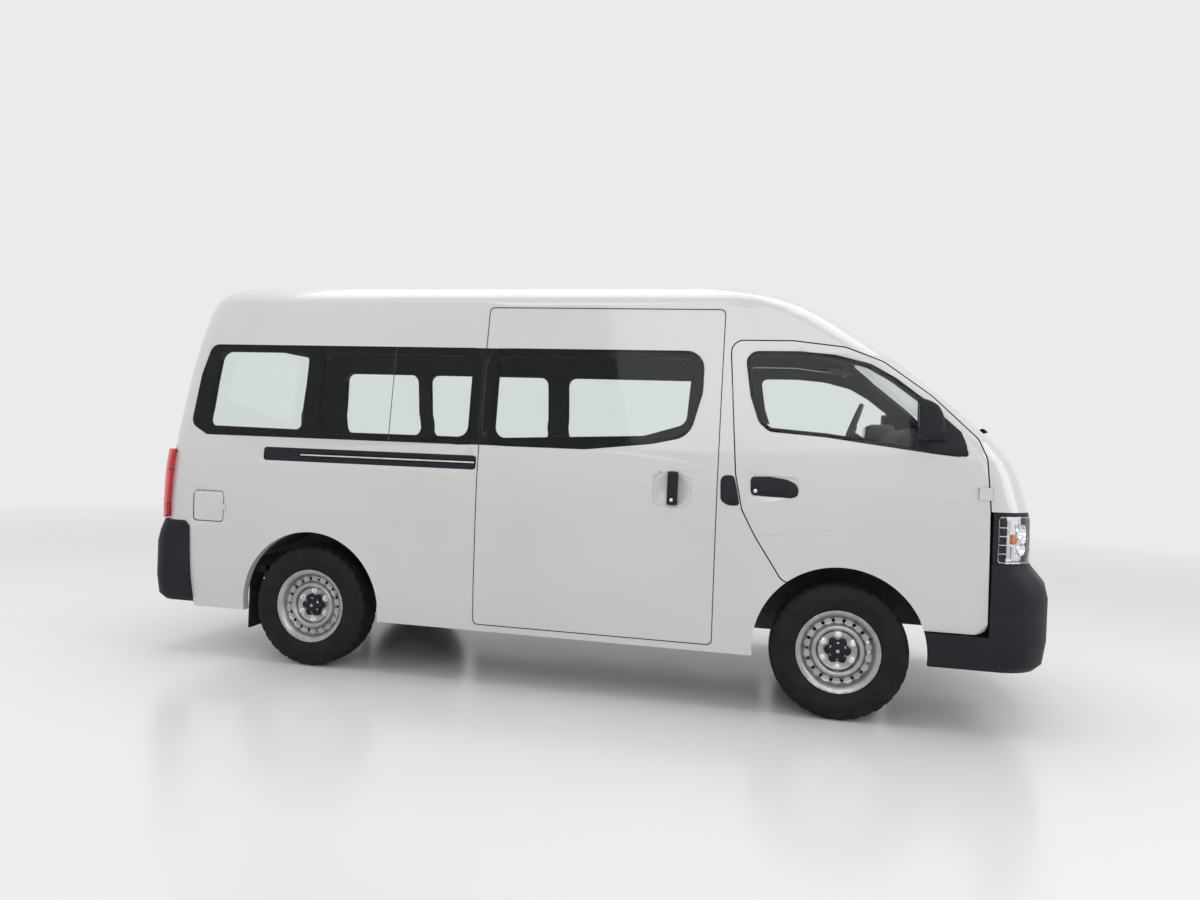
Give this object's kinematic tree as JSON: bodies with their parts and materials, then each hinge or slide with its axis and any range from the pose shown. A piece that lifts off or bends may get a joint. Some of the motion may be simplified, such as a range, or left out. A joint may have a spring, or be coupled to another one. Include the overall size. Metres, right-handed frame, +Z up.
{
  "type": "minibus",
  "caption": "High-roof passenger minibus with a sliding side door, hinged cab doors, tailgate, bonnet and fuel flap, on steered and rolling steel wheels.",
  "frame": {"origin": "on the ground, under the centre of the bounding box", "axes": "+X forwards along the vehicle, +Y to its left, +Z up"},
  "size_m": [5.08, 2.005, 2.285],
  "materials": {
    "body_paint": "gloss white enamel",
    "dark_plastic": "grained moulded plastic",
    "tinted_glass": "dark tinted, black printed edge",
    "lamp_lens": "clear lens over a bright reflector",
    "red_lens": "red moulded lens",
    "underbody": "dark sealed steel",
    "cast_metal": "cast and forged metal, dull",
    "exhaust_steel": "dull steel",
    "tank_plastic": "moulded black plastic",
    "rubber_flap": "matte rubber",
    "dash_plastic": "grained grey plastic",
    "seat_cloth": "woven grey cloth",
    "wheel_steel": "silver painted pressed steel",
    "tyre_rubber": "black tread rubber"
  },
  "bodies": {
    "root": {"roof_panel": "body_paint", "right_side": "body_paint", "left_side": "body_paint", "front_frame": "body_paint", "front_bumper": "dark_plastic", "rear_bumper": "dark_plastic", "grille": "dark_plastic", "headlamps": "lamp_lens", "tail_lamps": "red_lens", "windscreen": "tinted_glass", "right_side_glass": "tinted_glass", "left_side_glass": "tinted_glass", "sliding_door": "body_paint", "sliding_door_glass": "tinted_glass", "sliding_door_handle": "dark_plastic", "slide_rail": "dark_plastic", "wipers": "dark_plastic", "floor_pan": "underbody", "frame_rails": "underbody", "engine_block": "cast_metal", "front_axle": "cast_metal", "rear_axle": "cast_metal", "exhaust": "exhaust_steel", "fuel_tank": "tank_plastic", "mudflaps": "rubber_flap", "dashboard": "dash_plastic", "driver_seat": "seat_cloth", "passenger_seat": "seat_cloth", "rear_benches": "seat_cloth"},
    "left_door_body": {"left_door": "body_paint", "left_door_glass": "tinted_glass", "left_door_fittings": "dark_plastic"},
    "right_door_body": {"right_door": "body_paint", "right_door_glass": "tinted_glass", "right_door_fittings": "dark_plastic"},
    "tailgate_body": {"tailgate": "body_paint", "tailgate_glass": "tinted_glass"},
    "bonnet_body": {"bonnet": "body_paint"},
    "fuel_flap_body": {"fuel_flap": "body_paint"},
    "left_hub": {"left_knuckle": "cast_metal"},
    "right_hub": {"right_knuckle": "cast_metal"},
    "steering": {"steering_wheel": "dash_plastic"},
    "front_left_wheel": {"front_left_rim": "wheel_steel", "front_left_tyre": "tyre_rubber"},
    "front_right_wheel": {"front_right_rim": "wheel_steel", "front_right_tyre": "tyre_rubber"},
    "rear_left_wheel": {"rear_left_rim": "wheel_steel", "rear_left_tyre": "tyre_rubber"},
    "rear_right_wheel": {"rear_right_rim": "wheel_steel", "rear_right_tyre": "tyre_rubber"}
  },
  "joints": [
    {"name": "left_door_hinge", "type": "hinge", "parent": "root", "child": "left_door_body", "pos_m": [2.15059, 0.8475, 0.9], "axis": [0, 0, -1], "range_deg": [0, 68]},
    {"name": "right_door_hinge", "type": "hinge", "parent": "root", "child": "right_door_body", "pos_m": [2.15059, -0.8475, 0.9], "axis": [0, 0, 1], "range_deg": [0, 68]},
    {"name": "tailgate_hinge", "type": "hinge", "parent": "root", "child": "tailgate_body", "pos_m": [-2.29755, 0, 2.11065], "axis": [0, 1, 0], "range_deg": [0, 85]},
    {"name": "bonnet_hinge", "type": "hinge", "parent": "root", "child": "bonnet_body", "pos_m": [2.29577, 0, 1.40002], "axis": [0, -1, 0], "range_deg": [0, 60]},
    {"name": "fuel_flap_hinge", "type": "hinge", "parent": "root", "child": "fuel_flap_body", "pos_m": [-2.04711, -0.8525, 0.89], "axis": [0, 0, 1], "range_deg": [0, 90]},
    {"name": "left_steer", "type": "hinge", "parent": "root", "child": "left_hub", "pos_m": [1.46, 0.65184, 0.345], "axis": [0, 0, 1], "range_deg": [-32, 32]},
    {"name": "right_steer", "type": "hinge", "parent": "root", "child": "right_hub", "pos_m": [1.46, -0.65184, 0.345], "axis": [0, 0, 1], "range_deg": [-32, 32]},
    {"name": "steering_wheel_turn", "type": "hinge", "parent": "root", "child": "steering", "pos_m": [1.54526, 0.42375, 1.47497], "axis": [-0.9397, 0, 0.342], "range_deg": [-512, 512]},
    {"name": "front_left_roll", "type": "hinge", "parent": "left_hub", "child": "front_left_wheel", "pos_m": [1.46, 0.735, 0.345], "axis": [0, 1, 0], "continuous": true},
    {"name": "front_right_roll", "type": "hinge", "parent": "right_hub", "child": "front_right_wheel", "pos_m": [1.46, -0.735, 0.345], "axis": [0, 1, 0], "continuous": true},
    {"name": "rear_left_roll", "type": "hinge", "parent": "root", "child": "rear_left_wheel", "pos_m": [-1.48, 0.735, 0.345], "axis": [0, 1, 0], "continuous": true},
    {"name": "rear_right_roll", "type": "hinge", "parent": "root", "child": "rear_right_wheel", "pos_m": [-1.48, -0.735, 0.345], "axis": [0, 1, 0], "continuous": true}
  ],
  "couplings": [
    {"joint": "right_steer", "follows": "left_steer", "ratio": 1},
    {"joint": "steering_wheel_turn", "follows": "left_steer", "ratio": 16}
  ]
}
